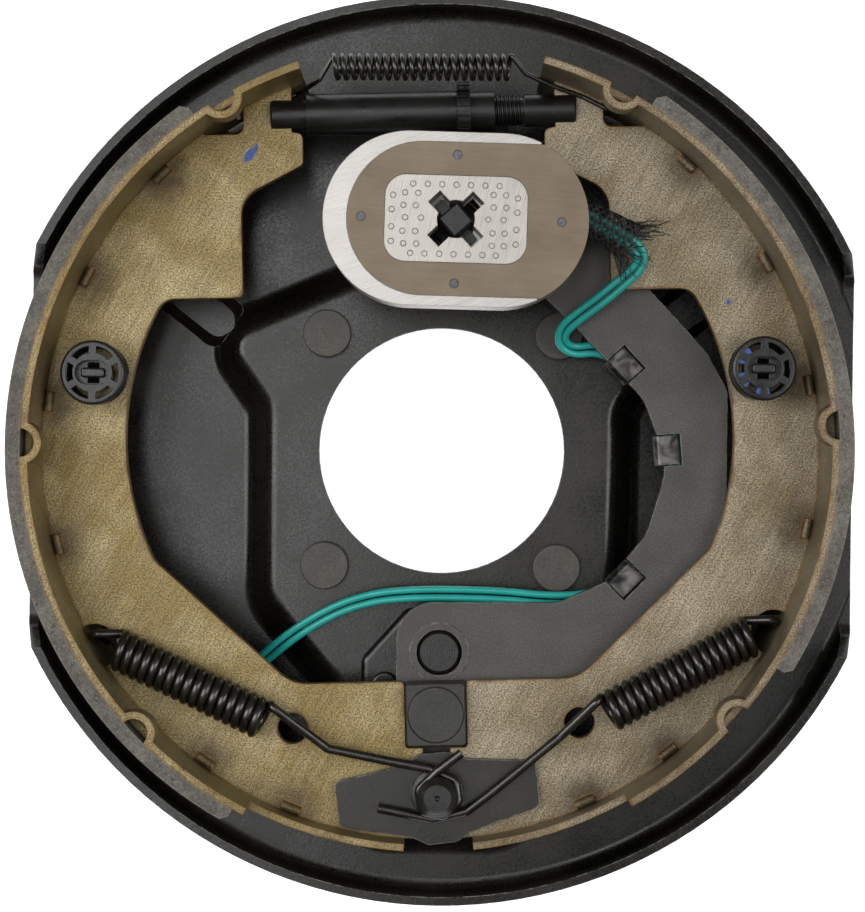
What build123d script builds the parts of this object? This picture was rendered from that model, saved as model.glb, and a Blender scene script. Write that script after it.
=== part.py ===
from build123d import *
import math
import os

os.makedirs("parts", exist_ok=True)

# Electric drum brake for a trailer axle, lying on its back.
# The origin is the middle of the pilot hole on the mounting face, +Z points to the drum,
# +Y from the anchor post to the adjuster.  All sizes are in millimetres.

# Running clearances
fit_gap = 0.06          # a pin that turns in its hole
seat_gap = 0.1          # a shank that is pressed or riveted in its hole
free_gap = 0.3          # neighbours that must not rub

# Backing plate
sheet = 2.7             # pressed steel sheet
floor_depth = 12.7      # floor of the plate behind the raised middle
rim_height = 15.0       # turned-up wall, measured from the floor
flat_window = 64.0      # half the height over which the wall is cut down at a flat
flat_lip = 0.4          # height of the wall left standing at a flat
rim_bend_r = 6.0
pilot_r = 38.6
slope_angle = 29.0      # lean of the raised middle's side walls
slope_foot_r = 4.0
slope_top_r = 4.0
pocket_foot_r = 5.0
pocket_top_r = 1.5
pad_half = 46.0         # square pad at the back that seats on the axle flange
pad_corner_r = 12.0
pad_step = 0.4          # the sheet round the pad is this much thinner at the back
nut_room_r = 10.6       # free round each stud at the back
nut_room = 8.0
rub_pad_height = 2.7
rub_pad_length = 24.0
rub_pad_depth = 12.0
rib_length = 36.0
rib_width = 17.0
rib_height = 5.0

# Studs that fasten the brake to the axle flange
stud_square = 73.0
stud_r = 4.76
stud_neck_r = 5.1       # serrated neck that is pressed into the plate
stud_length = 20.0
stud_head_r = 7.5
stud_head_height = 3.0

# Anchor post, lever pivot and the plate that stiffens them
anchor_offset = 105.0   # anchor post below the pilot hole
pivot_offset = 62.5     # lever pivot below the pilot hole
support_thickness = 4.5
support_edge_r = 2.2
post_base_r = 10.0
post_r = 7.9
post_neck_r = 3.6
post_head_r = 6.2
post_tip_r = 4.1
post_head_height = 3.0
pivot_pin_r = 7.0
pivot_chamfer = 1.2
rivet_r = 3.0
rivet_head_r = 4.1
rivet_head_height = 1.6
back_head_height = 3.0

# Shoes: table, web and lining
shoe_lean = 1.9         # both shoes lean this far about the anchor post
shoe_circle_offset = 105.2
lining_r = 126.0
lining_thickness = 4.4
table_thickness = 2.2
shoe_width = 57.0
tail_width = 28.0
web_thickness = 5.0
web_to_lever = 1.5
table_start = 17.6      # degrees from the top of the shoe circle
table_wide_end = 151.7
table_end = 175.0
lining_start = 34.0
secondary_lining_end = 150.0
primary_lining_end = 123.4
lining_bevel = 2.0
drum_room = 17.2        # between the lining and the outside of the plate's wall
flat_room = 5.5         # between the lining and the plate's cut left and right
nub_angles = (29.5, 87.8, 132.5)
nub_r = 6.4
nub_length = 9.0
weld_angles = (43.0, 62.0, 81.5, 103.0, 143.0, 157.5)
weld_length = 6.0
weld_r = 1.5

# Adjuster between the tops of the shoes
adjuster_offset = 209.0
adjuster_reach = 40.5   # from the middle to the bottom of each slotted end's slot
slot_depth = 6.3
slotted_end_length = 11.0
slotted_end_r = 5.1
tube_r = 6.45
tube_length = 46.2
star_r = 9.2
star_thickness = 4.0
star_teeth = 20
star_tooth_depth = 1.7
collar_r = 6.1
collar_length = 7.4
screw_r = 5.0
thread_depth = 0.7      # the screw is drawn at the thread's root, the nut at its crest
thread_shown = 8.9
screw_inside = 16.0     # length of the screw beyond the star wheel, in the tube

# Actuating lever, its block and the magnet stud
lever_gap = 5.3         # between the stiffening plate and the lever
lever_thickness = 5.0
lever_boss_r = 9.2
lever_boss_height = 0.4
block_rise = 24.3       # block pin above the anchor post, in the shoes' own frame
block_gap = 0.7         # between the lever and its block
block_width = 18.4
block_height = 19.4
block_thickness = 10.2
block_corner = 1.2
block_pin_r = 5.0
block_pin_head_r = 8.6
block_pin_head_height = 2.8
magnet_x = 3.4
magnet_y = 68.2
magnet_turn = -1.0
stud_side = 7.4
stud_turn = 42.0
ear_length = 16.0
ear_width = 3.6
ear_thickness = 2.0
window_width = 9.8
window_depth = 7.0
clip_strip = 0.9
clip_width = 9.0

# Magnet
magnet_face_height = 54.0
magnet_length = 78.6
magnet_width = 51.4
magnet_thickness = 16.0
case_back = 2.5
case_end_wall = 7.0
case_side_wall = 3.0
facing_thickness = 4.0
core_width = 25.7
core_end_room = 18.3    # from the end of the core to the end of the magnet
case_cut = 14.7         # the case's rim ends this far from the magnet's right end
face_pin_end = (11.3, 8.1)
face_pin_side = 19.0
core_corner_r = 6.2
cross_reach = 9.3
cross_width = 4.8
cross_hub = 11.2
face_pin_r = 1.3

# Springs
return_wire_r = 1.4
return_coil_r = 5.1
return_turns = 17
return_outer = (95.8, 46.4)
return_inner = (52.4, 24.2)
return_notch_place = (104.2, 47.0)
return_notch_r = 7.0
adjuster_wire_r = 0.75
adjuster_coil_r = 3.45
adjuster_turns = 21
adjuster_coil_half = 27.0
adjuster_coil_offset = 222.6
hold_wire_r = 0.9
hold_coil_r = 8.5
hold_turns = 4
follow_wire_r = 0.8
follow_turns = 4
follow_base_r = 11.5
follow_top_r = 7.0

# Hold-downs
hold_down_x = 101.1
hold_down_y = 129.1
hold_down_skew = 1.5    # the left one sits higher on its shoe, the right one lower
hold_pin_r = 2.3
hold_web_hole_r = 5.0
cup_r = 9.75
cup_height = 15.0       # cup front above the web
cup_sheet = 1.2
cup_skirt = 2.6
cup_spokes = 6
cup_spoke_width = 2.2
cup_slot_inner_r = 6.0
cup_slot_outer_r = 8.0
recess_length = 10.4
recess_width = 7.2
recess_depth = 3.0
pin_head_length = 7.2
pin_head_width = 3.0
pin_head_height = 2.4
pin_foot_r = 6.0
pin_foot_height = 2.0

# Guide plate over the shoe ends
guide_thickness = 3.0
guide_turn = 5.0

# Leads
lead_d = 2.2
lead_pitch = 2.6
sleeve_r = 2.6
grommet_place = (-67.0, -77.0)
grommet_hole_r = 6.0
grommet_flange_r = 8.2
grommet_flange = 2.0

# Adjusting slot at the back
slot_length = 20.0
slot_width = 9.0
plug_lip = 2.0
plug_wall = 2.0

# Plate sizes that follow from the shoes
plate_r = lining_r + drum_room
flat_half = lining_r + flat_room

# Heights that follow from the sizes above
plateau_front = sheet
floor_front = sheet - floor_depth
floor_back = floor_front - sheet
rim_top = floor_front + rim_height
support_front = plateau_front + support_thickness
lever_back = support_front + lever_gap
lever_front = lever_back + lever_thickness
web_back = lever_front + web_to_lever
web_front = web_back + web_thickness
web_middle = web_back + web_thickness / 2
table_back = web_middle - shoe_width / 2
table_front = web_middle + shoe_width / 2
table_outer_r = lining_r - lining_thickness
table_inner_r = table_outer_r - table_thickness
guide_back = web_front
guide_front = guide_back + guide_thickness
magnet_back = magnet_face_height - magnet_thickness
lead_r = lead_d / 2


def shoe_frame(shape):
    """Put a shape drawn about the anchor post, shoes upright, into the brake."""
    return Pos(0, -anchor_offset, 0) * Rot(0, 0, shoe_lean) * shape


def shoe_point(x, y):
    """Place of a point given in the upright shoe frame."""
    lean = math.radians(shoe_lean)
    return (
        x * math.cos(lean) - y * math.sin(lean),
        x * math.sin(lean) + y * math.cos(lean) - anchor_offset,
    )


def round_corners(face, corners):
    """Round each named corner (x, y, radius) of a flat face."""
    for x, y, radius in corners:
        corner = face.vertices().sort_by_distance(Vector(x, y, 0))[0]
        face = fillet(corner, radius)
    return face


def raised(face, low, high):
    """Straight block on a flat outline between two heights."""
    return Pos(0, 0, low) * extrude(face, high - low)


def rod(x, y, radius, low, high):
    """Round bar along Z."""
    return Pos(x, y, (low + high) / 2) * Cylinder(radius, high - low)


def swept(path, radius):
    """Round wire along a path."""
    section = Plane(origin=path @ 0, z_dir=path % 0) * Circle(radius)
    return sweep(section, path=path)


def save(shape, node):
    export_step(shape, f"parts/{node}.step")


# Backing plate
plateau_corners = (
    (21, 55.3, 14), (68.6, 34.3, 7), (54.2, 14, 12), (53.8, -47, 12),
    (31, -74, 14), (27, -86, 12), (27, -120, 12),
)


def plateau_face():
    right = [(x, y) for x, y, _ in plateau_corners]
    left = [(-x, y) for x, y in reversed(right)]
    face = make_face(Polyline(*right, *left, close=True))
    both = [(side * x, y, r) for x, y, r in plateau_corners for side in (1, -1)]
    return round_corners(face, both)


def support_face():
    corners = ((24.5, -118), (24.5, -65.4), (10.5, -49.6), (-10.5, -49.6), (-24.5, -65.4), (-24.5, -118))
    face = make_face(Polyline(*corners, close=True))
    return round_corners(face, [(x, y, 4.0) for x, y in corners])


def hold_down_place(side):
    """side is -1 for the secondary shoe on the left and 1 for the primary shoe."""
    return side * hold_down_x, hold_down_y - side * hold_down_skew


def adjusting_slot_face():
    x, y = shoe_point(star_x + star_thickness / 2, adjuster_offset)
    return Pos(x, y) * SlotOverall(slot_width + slot_length, slot_width, rotation=shoe_lean)


def backing_plate():
    shell = make_face(Polyline(
        (0, floor_back), (plate_r, floor_back), (plate_r, rim_top),
        (plate_r - sheet, rim_top), (plate_r - sheet, floor_front), (0, floor_front), close=True,
    ))
    shell = round_corners(shell, (
        (plate_r, floor_back, rim_bend_r),
        (plate_r - sheet, floor_front, rim_bend_r - sheet),
    ))
    plate = revolve(Plane.XZ * shell, Axis.Z)
    plate = with_raised_middle(plate)
    flats = Box(2 * flat_half, 2 * plate_r, 4 * rim_height)
    plate = plate & flats
    foot = floor_front + flat_lip
    scoop = make_face(Polyline(
        (-flat_window, rim_top + 1), (flat_window, rim_top + 1),
        (flat_window - rim_height / 2, foot), (rim_height / 2 - flat_window, foot), close=True,
    ))
    scoop = round_corners(scoop, (
        (flat_window - rim_height / 2, foot, rim_bend_r),
        (rim_height / 2 - flat_window, foot, rim_bend_r),
    ))
    scoop = extrude(Plane.YZ * scoop, plate_r / 8, both=True)
    for side in (-1, 1):
        plate -= Pos(side * flat_half, 0, 0) * scoop
    for side in (-1, 1):
        for angle in nub_angles:
            plate += rub_pad(side * angle)
        plate += stiffening_rib(side)
    # holes
    plate -= Cylinder(pilot_r, 4 * sheet)
    for x, y in stud_places():
        plate -= Pos(x, y) * Cylinder(stud_neck_r + seat_gap, 4 * sheet)
    plate -= Pos(0, -anchor_offset) * Cylinder(post_r + seat_gap, 4 * sheet)
    plate -= Pos(0, -pivot_offset) * Cylinder(pivot_pin_r + seat_gap, 4 * sheet)
    for x, y in rivet_places():
        plate -= Pos(x, y) * Cylinder(rivet_r + seat_gap, 4 * sheet)
    for side in (-1, 1):
        x, y = shoe_point(*hold_down_place(side))
        plate -= Pos(x, y, floor_back) * Cylinder(hold_pin_r + free_gap, 4 * sheet)
    plate -= Pos(*grommet_place, floor_back) * Cylinder(grommet_hole_r, 4 * sheet)
    plate -= raised(adjusting_slot_face(), floor_back - sheet, floor_front + sheet)
    return plate


def edges_at(shape, height):
    """Level edges at one height, apart from the plate's own round ones."""
    level = [edge for edge in shape.edges() if edge.bounding_box().size.Z < 0.01]
    there = [edge for edge in level if abs(edge.center().Z - height) < 0.01]
    return [edge for edge in there if edge.geom_type != GeomType.CIRCLE or edge.radius < plate_r / 2]


def with_raised_middle(plate):
    """Press the middle of the plate forward, with rounded edges, and hollow it from behind."""
    slope = math.radians(slope_angle)
    run = floor_depth * math.tan(slope)
    pocket_run = run + sheet * math.tan(slope) - sheet / math.cos(slope)
    front = offset(plateau_face(), run)
    plate += Pos(0, 0, floor_front) * extrude(front, floor_depth, taper=slope_angle)
    plate = fillet(edges_at(plate, floor_front), slope_foot_r)
    plate = fillet(edges_at(plate, plateau_front), slope_top_r)
    pocket = offset(plateau_face(), pocket_run)
    plate -= Pos(0, 0, floor_back) * extrude(pocket, floor_depth + pad_step, taper=slope_angle)
    plate = fillet(edges_at(plate, floor_back), pocket_foot_r)
    plate = fillet(edges_at(plate, pad_step), pocket_top_r)
    plate += raised(RectangleRounded(2 * pad_half, 2 * pad_half, pad_corner_r), 0, sheet / 2)
    for x, y in stud_places():
        plate += rod(x, y, nut_room_r, 0, sheet / 2)
        plate -= rod(x, y, nut_room_r, -nut_room, 0)
    return plate


def rub_pad(angle):
    """Raised ledge of the plate on which a shoe's table edge slides."""
    ledge = RectangleRounded(rub_pad_length, rub_pad_depth, 3)
    ledge = extrude(ledge, rub_pad_height, taper=20)
    # the angle is counted from the top of the shoe circle, clockwise for the primary shoe
    place = Rot(0, 0, -angle) * Pos(0, table_outer_r - nub_r / 2, floor_front)
    return Pos(0, shoe_circle_offset - anchor_offset, 0) * place * ledge


def stiffening_rib(side):
    """Pressed rib that runs out from each upper shoulder of the raised middle."""
    rib = extrude(SlotOverall(rib_length, rib_width), rib_height, taper=35)
    return Pos(side * 79.0, 46.5, floor_front) * Rot(0, 0, side * 38.0) * rib


def stud_places():
    half = stud_square / 2
    return [(x, y) for x in (-half, half) for y in (-half, half)]


def rivet_places():
    return [(-17.0, -73.5), (17.0, -73.5)]


def mounting_studs():
    studs = []
    for x, y in stud_places():
        head = fillet(rod(0, 0, stud_head_r, plateau_front, plateau_front + stud_head_height)
                      .edges().group_by(Axis.Z)[-1], 0.5)
        shank = rod(0, 0, stud_r, -stud_length, 0)
        shank = chamfer(shank.edges().group_by(Axis.Z)[0], 1.0)
        neck = rod(0, 0, stud_neck_r, 0, plateau_front)
        studs.append(Pos(x, y) * (head + neck + shank))
    return Compound(studs)


def anchor_support_plate():
    plate = raised(support_face(), plateau_front, support_front)
    plate = fillet(plate.edges().group_by(Axis.Z)[-1], support_edge_r)
    plate -= rod(0, -anchor_offset, post_r + seat_gap, 0, support_front + 1)
    plate -= rod(0, -pivot_offset, pivot_pin_r + seat_gap, 0, support_front + 1)
    for x, y in rivet_places():
        plate -= rod(x, y, rivet_r + seat_gap, 0, support_front + 1)
    return plate


def support_rivets():
    rivets = []
    for x, y in rivet_places():
        head = rod(x, y, rivet_head_r, support_front, support_front + rivet_head_height)
        head = fillet(head.edges().group_by(Axis.Z)[-1], rivet_head_height * 0.6)
        tail = rod(x, y, rivet_head_r, pad_step - rivet_head_height, pad_step)
        rivets.append(head + rod(x, y, rivet_r, 0, support_front) + tail)
    return Compound(rivets)


def anchor_post():
    groove_low = guide_front + 0.2
    groove_high = groove_low + 4 * return_wire_r + 1.9
    head_top = groove_high + post_head_height
    profile = Polyline(
        (0, -back_head_height), (post_base_r, -back_head_height), (post_base_r, pad_step), (post_r, pad_step),
        (post_r, support_front), (post_base_r, support_front), (post_base_r, web_back - seat_gap),
        (post_r, web_back - seat_gap), (post_r, groove_low), (post_neck_r, groove_low + 0.8),
        (post_neck_r, groove_high), (post_head_r, groove_high + 0.4), (post_head_r, groove_high + 0.9),
        (post_tip_r, head_top), (1.0, head_top), (0, head_top - 0.7), close=True,
    )
    return Pos(0, -anchor_offset) * revolve(Plane.XZ * make_face(profile), Axis.Z)


def lever_pivot_pin():
    top = lever_front + lever_boss_height
    profile = Polyline(
        (0, -back_head_height), (post_base_r, -back_head_height), (post_base_r, pad_step), (pivot_pin_r, pad_step),
        (pivot_pin_r, support_front), (post_base_r, support_front), (post_base_r, lever_back - seat_gap),
        (pivot_pin_r, lever_back - seat_gap), (pivot_pin_r, top - 1.6), (pivot_pin_r - pivot_chamfer, top),
        (0, top), close=True,
    )
    return Pos(0, -pivot_offset) * revolve(Plane.XZ * make_face(profile), Axis.Z)


def guide_plate():
    half = (
        (30.8, 7.0, 2.0), (10.5, 9.6, 3.0), (4.0, 12.6, 3.0),
    )
    top = [(x, y) for x, y, _ in half]
    outline = top + [(-x, y) for x, y in reversed(top)]
    lower = ((-30.8, -7.0), (-9.0, -12.4), (-4.5, -15.2), (4.5, -15.2), (9.0, -12.4), (30.8, -7.0))
    outline += list(lower)
    face = make_face(Polyline(*outline, close=True))
    rounding = [(s * x, y, r) for x, y, r in half for s in (1, -1)]
    rounding += [(x, y, 2.5) for x, y in lower]
    face = round_corners(face, rounding) - Circle(post_r + seat_gap)
    return shoe_frame(raised(Rot(0, 0, guide_turn) * face, guide_back, guide_front))


# Shoes, drawn for the left side about the anchor post and mirrored for the right
def on_side(shape, side):
    return shape if side < 0 else mirror(shape, about=Plane.YZ)


def arc_band(inner_r, outer_r, start, end):
    """Flat band on the left of the shoe circle, angles in degrees from its top."""
    sweep_angle = end - start
    centre = (0, shoe_circle_offset)
    outer = CenterArc(centre, outer_r, 90 + start, sweep_angle)
    inner = CenterArc(centre, inner_r, 90 + start, sweep_angle)
    ends = [Line(outer @ 0, inner @ 0), Line(outer @ 1, inner @ 1)]
    return make_face([outer, inner, *ends])


def circle_point(radius, angle):
    """Point on the left of the shoe circle."""
    turn = math.radians(angle)
    return -radius * math.sin(turn), shoe_circle_offset + radius * math.cos(turn)


def table_edges(angle):
    """Back and front edge of the table at an angle from the top of the shoe circle."""
    if angle < table_wide_end:
        return table_back, table_front
    return web_middle - tail_width / 2, web_middle + tail_width / 2


def shoe_table(side):
    wide = arc_band(table_inner_r, table_outer_r, table_start, table_wide_end)
    tail = arc_band(table_inner_r, table_outer_r, table_wide_end, table_end)
    table = raised(wide, *table_edges(table_start))
    table += raised(tail, *table_edges(table_end))
    for angle in nub_angles:
        x, y = circle_point(table_outer_r, angle)
        back, front = table_edges(angle)
        for low in (back, front - nub_length):
            pocket = rod(x, y, nub_r, low, low + nub_length)
            shell = rod(x, y, nub_r, low, low + nub_length) - rod(x, y, nub_r - table_thickness,
                                                                    low, low + nub_length)
            inside = raised(Pos(0, shoe_circle_offset) * Circle(table_outer_r), low, low + nub_length)
            table = (table - pocket) + (shell & inside)
    return shoe_frame(on_side(table, side))


def shoe_lining(side, end):
    face = arc_band(table_outer_r, lining_r, lining_start, end)
    lining = raised(face, table_back, table_front)
    tips = [circle_point(lining_r, angle) for angle in (lining_start, end)]
    for x, y in tips:
        edge = lining.edges().filter_by(Axis.Z).sort_by_distance(Vector(x, y, web_middle))[0]
        lining = chamfer(edge, lining_bevel)
    return shoe_frame(on_side(lining, side))


def web_face(hold_place):
    top_angle = math.degrees(math.asin(adjuster_reach / table_inner_r))
    seat_r = post_r + 2 * seat_gap
    seat_x = 4.2
    seat_y = math.sqrt(seat_r ** 2 - seat_x ** 2)
    foot_angle = 180 - math.degrees(math.asin(seat_x / table_inner_r))
    top = circle_point(table_inner_r, top_angle)
    foot = circle_point(table_inner_r, foot_angle)
    side_middle = circle_point(table_inner_r, (top_angle + foot_angle) / 2)
    end_x = block_width / 2 + free_gap
    slot_bottom = adjuster_offset - slotted_end_r - free_gap
    bite_r = 85.0
    bite_centre = (-8.4, 109.0)
    bite_top = (bite_centre[0] - math.sqrt(bite_r ** 2 - (153.2 - bite_centre[1]) ** 2), 153.2)
    bite_low = (bite_centre[0] - math.sqrt(bite_r ** 2 - (72.9 - bite_centre[1]) ** 2), 72.9)
    bite_middle = (bite_centre[0] - bite_r, bite_centre[1])
    shoulder = ((-adjuster_reach, slot_bottom), (-37.2, slot_bottom - 0.7), (-37.2, 193.6), (-56.5, 183.8),
                (-56.5, 153.2))
    lower = ((-44.0, 34.2), (-end_x, 34.2), (-end_x, 13.8), (-seat_x, 13.8), (-seat_x, seat_y))
    outline = [
        Polyline(top, *shoulder, bite_top),
        ThreePointArc(bite_top, bite_middle, bite_low),
        Polyline(bite_low, *lower),
        ThreePointArc((-seat_x, seat_y), (-seat_r, 0), (-seat_x, -seat_y)),
        Line((-seat_x, -seat_y), foot),
        ThreePointArc(foot, side_middle, top),
    ]
    face = make_face(Curve() + outline)
    face = round_corners(face, (
        (-37.2, slot_bottom - 0.7, 1.6), (-37.2, 193.6, 1.6), (-56.5, 183.8, 9.0), (-56.5, 153.2, 1.8),
        (*bite_top, 6.0), (*bite_low, 8.0), (-44.0, 34.2, 12.0), (-end_x, 34.2, 1.4), (-end_x, 13.8, 1.0),
    ))
    window = make_face(Polyline((-68.6, 203.2), (-55.2, 203.2), (-55.2, 220), (-68.6, 220), close=True))
    window = round_corners(window, ((-68.6, 203.2, 2.0), (-55.2, 203.2, 2.6)))
    face -= window
    face -= Pos(-return_notch_place[0], return_notch_place[1]) * Circle(return_notch_r)
    face -= Pos(-44.0, 20.6) * Circle(4.7)
    face -= Pos(*hold_place) * Circle(hold_web_hole_r)
    return face


def shoe_web(side):
    x, y = hold_down_place(side)
    web = raised(web_face((-abs(x), y)), web_back, web_front)
    for angle in weld_angles:
        web += weld_bead(angle)
    return shoe_frame(on_side(web, side))


def weld_bead(angle):
    """Small weld between web and table, on the drum side."""
    turn = Pos(0, shoe_circle_offset) * Rot(0, 0, angle)
    bead = turn * Pos(0, table_inner_r - weld_r, web_front) * Rot(0, 90, 0) * Cylinder(weld_r, weld_length)
    return bead & raised(Pos(0, shoe_circle_offset) * Circle(table_inner_r - 0.02), web_back, table_front)


# Adjuster, drawn along X at the height of the webs' middle
tube_start = -adjuster_reach - slot_depth
tube_step = tube_start + slotted_end_length
star_x = tube_step + tube_length
collar_start = star_x + star_thickness
collar_end = collar_start + collar_length
screw_step = collar_end + thread_shown
screw_end = adjuster_reach + slot_depth
thread_root_r = screw_r - thread_depth


def bar_x(radius, start, end):
    """Round bar along the adjuster's axis."""
    bar = Pos((start + end) / 2, adjuster_offset, web_middle) * Rot(0, 90, 0)
    return bar * Cylinder(radius, end - start)


def web_slot(start, end):
    """Slot in a slotted end that straddles the web."""
    width = web_thickness + 4 * seat_gap
    return Pos((start + end) / 2, adjuster_offset, web_middle) * Box(end - start, 4 * tube_r, width)


def adjuster_tube():
    tube = bar_x(slotted_end_r, tube_start, tube_step) + bar_x(tube_r, tube_step, star_x)
    tube = chamfer(tube.edges().filter_by(GeomType.CIRCLE).sort_by(Axis.X)[:1], 0.5)
    tube -= web_slot(tube_start - 1, -adjuster_reach + seat_gap)
    tube -= bar_x(screw_r + free_gap, star_x - screw_inside - 2, star_x + 1)
    return shoe_frame(tube)


def star_wheel_nut():
    """Toothed wheel and collar on one internally threaded piece, which bears on the tube's end."""
    nut = bar_x(star_r, star_x + fit_gap, collar_start)
    step = 360 / star_teeth
    gap_width = math.pi * star_r / star_teeth
    for number in range(star_teeth):
        gap = Pos(star_x + star_thickness / 2, adjuster_offset, web_middle) * Rot(number * step, 0, 0)
        nut -= gap * Pos(0, 0, star_r) * Box(2 * star_thickness, gap_width, 2 * star_tooth_depth)
    nut += bar_x(collar_r, collar_start, collar_end)
    nut -= bar_x(screw_r + free_gap, star_x - 1, collar_end + 1)
    return shoe_frame(nut)


def adjuster_screw():
    screw = bar_x(thread_root_r, star_x - screw_inside, screw_step)
    screw = chamfer(screw.edges().filter_by(GeomType.CIRCLE).sort_by(Axis.X)[:1], 1.0)
    head = chamfer(bar_x(screw_r, screw_step, screw_end).edges().filter_by(GeomType.CIRCLE), 0.4)
    screw += head
    screw -= web_slot(adjuster_reach - free_gap, screw_end + 1)
    return shoe_frame(screw)


# Lever
lever_corners = (
    (-13.2, -47.2, 11.5), (37.0, -46.6, 8.0), (52.5, -39.5, 8.0), (63.8, -25.0, 14.0),
    (70.0, -4.0, 18.0), (62.5, 16.5, 14.0), (40.5, 39.2, 10.0), (25.0, 54.0, 12.0), (34.0, 80.0, 12.0),
    (67.9, 46.2, 3.0), (81.5, 31.5, 5.0), (88.3, 19.5, 8.0), (88.3, -13.5, 10.0), (85.0, -27.0, 10.0),
    (66.0, -53.0, 14.0), (49.0, -69.5, 12.0), (34.0, -78.0, 14.0),
)
lever_foot_r = 13.2
lever_tip_r = 11.5
block_x, block_y = shoe_point(0, block_rise)
clip_places = ((54.4, 25.1, 133.0), (67.1, 0.7, 95.0), (55.4, -37.3, 46.0))


def clip_plane(x, y, edge_turn):
    """Plane across a lead clip: X runs into the lever from its inner edge, Y towards the drum."""
    turn = math.radians(edge_turn)
    along = Vector(math.cos(turn), math.sin(turn), 0)
    inward = Vector(0, 0, 1).cross(along) * -1
    return Plane(origin=(x, y, 0), x_dir=inward, z_dir=inward.cross(Vector(0, 0, 1)))


def actuating_lever():
    points = [(x, y) for x, y, _ in lever_corners]
    tip_low = (magnet_x - 3.0, magnet_y - lever_tip_r + 1.0)
    tip_high = (magnet_x, magnet_y + lever_tip_r)
    points[8:8] = [tip_low, tip_high]
    points += [(block_x, block_y), (-lever_foot_r, block_y)]
    face = round_corners(make_face(Polyline(*points, close=True)), lever_corners)
    face += Pos(block_x, block_y) * Circle(lever_foot_r)
    face += Pos(magnet_x, magnet_y) * Circle(lever_tip_r)
    lever = raised(face, lever_back, lever_front)
    for place in clip_places:
        plane = clip_plane(*place)
        middle = (lever_back + lever_front) / 2
        lever -= plane * Pos(window_depth / 2 - 1, middle, 0) * Box(window_depth + 2, 4 * lever_thickness,
                                                                     window_width)
    lever += rod(0, -pivot_offset, lever_boss_r, lever_front, lever_front + lever_boss_height)
    lever -= rod(0, -pivot_offset, pivot_pin_r + fit_gap, lever_back - 1, lever_front + 2)
    lever -= rod(block_x, block_y, block_pin_r + seat_gap, lever_back - 1, lever_front + 2)
    lever -= rod(magnet_x, magnet_y, stud_side / 2 + seat_gap, lever_back - 1, lever_front + 2)
    return lever


def lead_clips():
    strip_low = lever_back - lead_d - 2 * free_gap
    path = ((6.4, lever_front - 2.6), (0.3, lever_front - 2.6), (-0.9, lever_front - 3.8),
            (-0.9, strip_low + 0.9), (0.3, strip_low - clip_strip / 2), (7.6, strip_low - clip_strip / 2),
            (8.6, lever_back - clip_strip / 2 - 0.6), (11.6, lever_back - clip_strip / 2))
    line = FilletPolyline(*path, radius=0.7)
    clips = []
    for place in clip_places:
        strip = extrude(clip_plane(*place) * trace(line, clip_strip), clip_width / 2, both=True)
        clips.append(strip)
    return Compound(clips)


block_back = lever_front + block_gap
block_front = block_back + block_thickness


def block_pin():
    head_low = block_front - block_pin_head_height
    pin = rod(block_x, block_y, block_pin_r, lever_back - 1.5, head_low)
    head = rod(block_x, block_y, block_pin_head_r, head_low, block_front + free_gap)
    return pin + chamfer(head.edges().group_by(Axis.Z)[-1], 0.4)


def lever_block():
    block = RectangleRounded(block_width, block_height, block_corner)
    block = raised(Pos(block_x, block_y) * Rot(0, 0, shoe_lean) * block, block_back, block_front)
    block = chamfer(block.edges().group_by(Axis.Z)[-1], 0.5)
    block -= rod(block_x, block_y, block_pin_r + fit_gap, block_back - 1, block_front + 1)
    recess_floor = block_front - block_pin_head_height - fit_gap
    block -= rod(block_x, block_y, block_pin_head_r + fit_gap, recess_floor, block_front + 1)
    return block


def at_magnet(shape):
    return Pos(magnet_x, magnet_y) * Rot(0, 0, magnet_turn) * shape


def magnet_stud():
    ear_low = magnet_back + case_back
    top = magnet_face_height - 1.6
    shank = raised(RectangleRounded(stud_side, stud_side, 0.6), lever_front, top)
    shank = chamfer(shank.edges().group_by(Axis.Z)[-1], 0.5)
    shank += rod(0, 0, stud_side / 2, lever_back - 1.5, lever_front)
    ears = raised(RectangleRounded(ear_width, ear_length, 0.8), ear_low, ear_low + ear_thickness)
    return at_magnet(Rot(0, 0, stud_turn) * (shank + ears))


# Magnet, drawn about its own middle
core_length = magnet_length - 2 * core_end_room
case_cut_x = magnet_length / 2 - case_cut
face_pin_places = (
    (0, face_pin_side), (0, -face_pin_side),
    (face_pin_end[0] - magnet_length / 2, 0), (magnet_length / 2 - face_pin_end[1], 0),
)


def oval(length, width):
    return SlotOverall(length, width)


def magnet_inner_face():
    left = -magnet_length / 2 + case_end_wall
    width = magnet_width - 2 * case_side_wall
    length = magnet_length / 2 + 20 - left
    return Pos(left + length / 2, 0) * oval(length, width) & oval(magnet_length, magnet_width)


def beyond_cut(face):
    """Part of a face to the right of where the case's ends are cut off."""
    box = Pos(case_cut_x + magnet_length / 2, 0) * Rectangle(magnet_length, 2 * magnet_width)
    return face & box


def magnet_case():
    whole = oval(magnet_length, magnet_width)
    case = raised(whole, magnet_back, magnet_back + case_back)
    wall = whole - magnet_inner_face() - beyond_cut(whole)
    case += raised(wall, magnet_back + case_back, magnet_face_height)
    slot = Circle(stud_side * 0.76) + Rot(0, 0, stud_turn) * Rectangle(ear_length + 1.6, ear_width + 1)
    case -= raised(slot, magnet_back - 1, magnet_back + case_back + 1)
    return at_magnet(case)


def core_face():
    return RectangleRounded(core_length, core_width, core_corner_r)


def cross_face():
    arm = Rectangle(2 * cross_reach, cross_width)
    cross = Rot(0, 0, 45) * arm + Rot(0, 0, -45) * arm + Circle(cross_hub / 2)
    return cross


def magnet_core():
    core = raised(core_face() - cross_face(), magnet_back + case_back, magnet_face_height)
    return at_magnet(core)


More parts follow.
